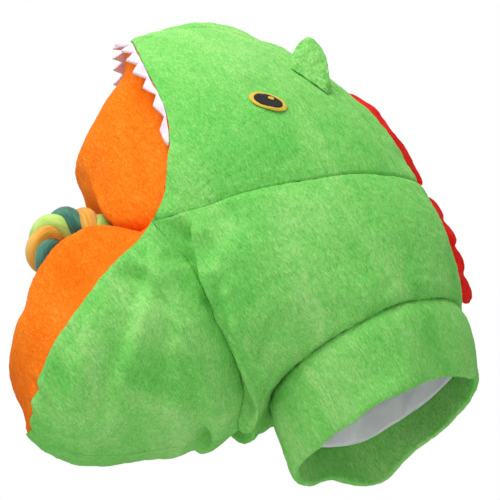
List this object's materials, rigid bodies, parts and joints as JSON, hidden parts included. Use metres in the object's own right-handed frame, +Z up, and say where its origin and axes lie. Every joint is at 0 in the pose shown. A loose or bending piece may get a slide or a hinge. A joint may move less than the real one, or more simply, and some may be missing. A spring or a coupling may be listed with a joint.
{
  "type": "moving mouth hand puppet",
  "caption": "Plush dinosaur head on a short sleeve, with a mouth worked by the hand inside, felt teeth and a twisted rope tongue.",
  "frame": {"origin": "centre of the sleeve opening, where the hand goes in", "axes": "+Z up the forearm into the sleeve, the face looks along -Y, +X is the puppet's left"},
  "size_m": [0.1372, 0.2862, 0.2877],
  "materials": {
    "green_plush": "short pile",
    "orange_plush": "short pile",
    "white_satin": "smooth weave",
    "wadding": "loose fibre",
    "white_felt": "matt felt",
    "yellow_thread": "satin stitch",
    "black_thread": "satin stitch",
    "red_fleece": "matt fleece",
    "green_rope": "twisted fibre",
    "teal_rope": "twisted fibre",
    "amber_rope": "twisted fibre"
  },
  "bodies": {
    "sleeve": {"cuff_band": "green_plush", "cuff_facing": "green_plush", "sleeve_lining": "white_satin", "neck_skin_left": "green_plush", "neck_skin_right": "green_plush", "mouth_crease": "orange_plush", "rope_stitching": "black_thread", "crest_neck": "red_fleece"},
    "upper_jaw": {"head_side_left": "green_plush", "head_side_right": "green_plush", "crown_gusset": "green_plush", "upper_palate": "orange_plush", "upper_palate_filling": "wadding", "head_filling": "wadding", "finger_pocket": "white_satin", "teeth_left": "white_felt", "teeth_right": "white_felt", "eye_ring_left": "yellow_thread", "eye_ring_right": "yellow_thread", "eye_pupil_left": "black_thread", "eye_pupil_right": "black_thread", "eye_glint_left": "yellow_thread", "eye_glint_right": "yellow_thread", "ear_front_left": "green_plush", "ear_front_right": "green_plush", "ear_back_left": "green_plush", "ear_back_right": "green_plush", "crest_head": "red_fleece"},
    "lower_jaw": {"jaw_skin_left": "green_plush", "jaw_skin_right": "green_plush", "lower_palate": "orange_plush", "lower_palate_filling": "wadding", "chin_filling": "wadding", "thumb_pocket": "white_satin"},
    "rope": {"rope_strand_green": "green_rope", "rope_strand_teal": "teal_rope", "rope_strand_amber": "amber_rope"}
  },
  "joints": [
    {"name": "upper_jaw_close", "type": "hinge", "parent": "sleeve", "child": "upper_jaw", "pos_m": [0, -0.073, 0.157], "axis": [1, 0, 0], "range_deg": [0, 50], "stiffness_Nm_per_rad": 2, "deforming": ["upper_palate", "upper_palate_filling"]},
    {"name": "lower_jaw_close", "type": "hinge", "parent": "sleeve", "child": "lower_jaw", "pos_m": [0, -0.073, 0.157], "axis": [-1, 0, 0], "range_deg": [0, 40], "stiffness_Nm_per_rad": 1.5, "deforming": ["lower_palate", "lower_palate_filling"]},
    {"name": "rope_swing", "type": "hinge", "parent": "sleeve", "child": "rope", "pos_m": [0, -0.073, 0.157], "axis": [0, 0.6691, 0.7431], "range_deg": [-15, 15], "stiffness_Nm_per_rad": 0.05}
  ]
}
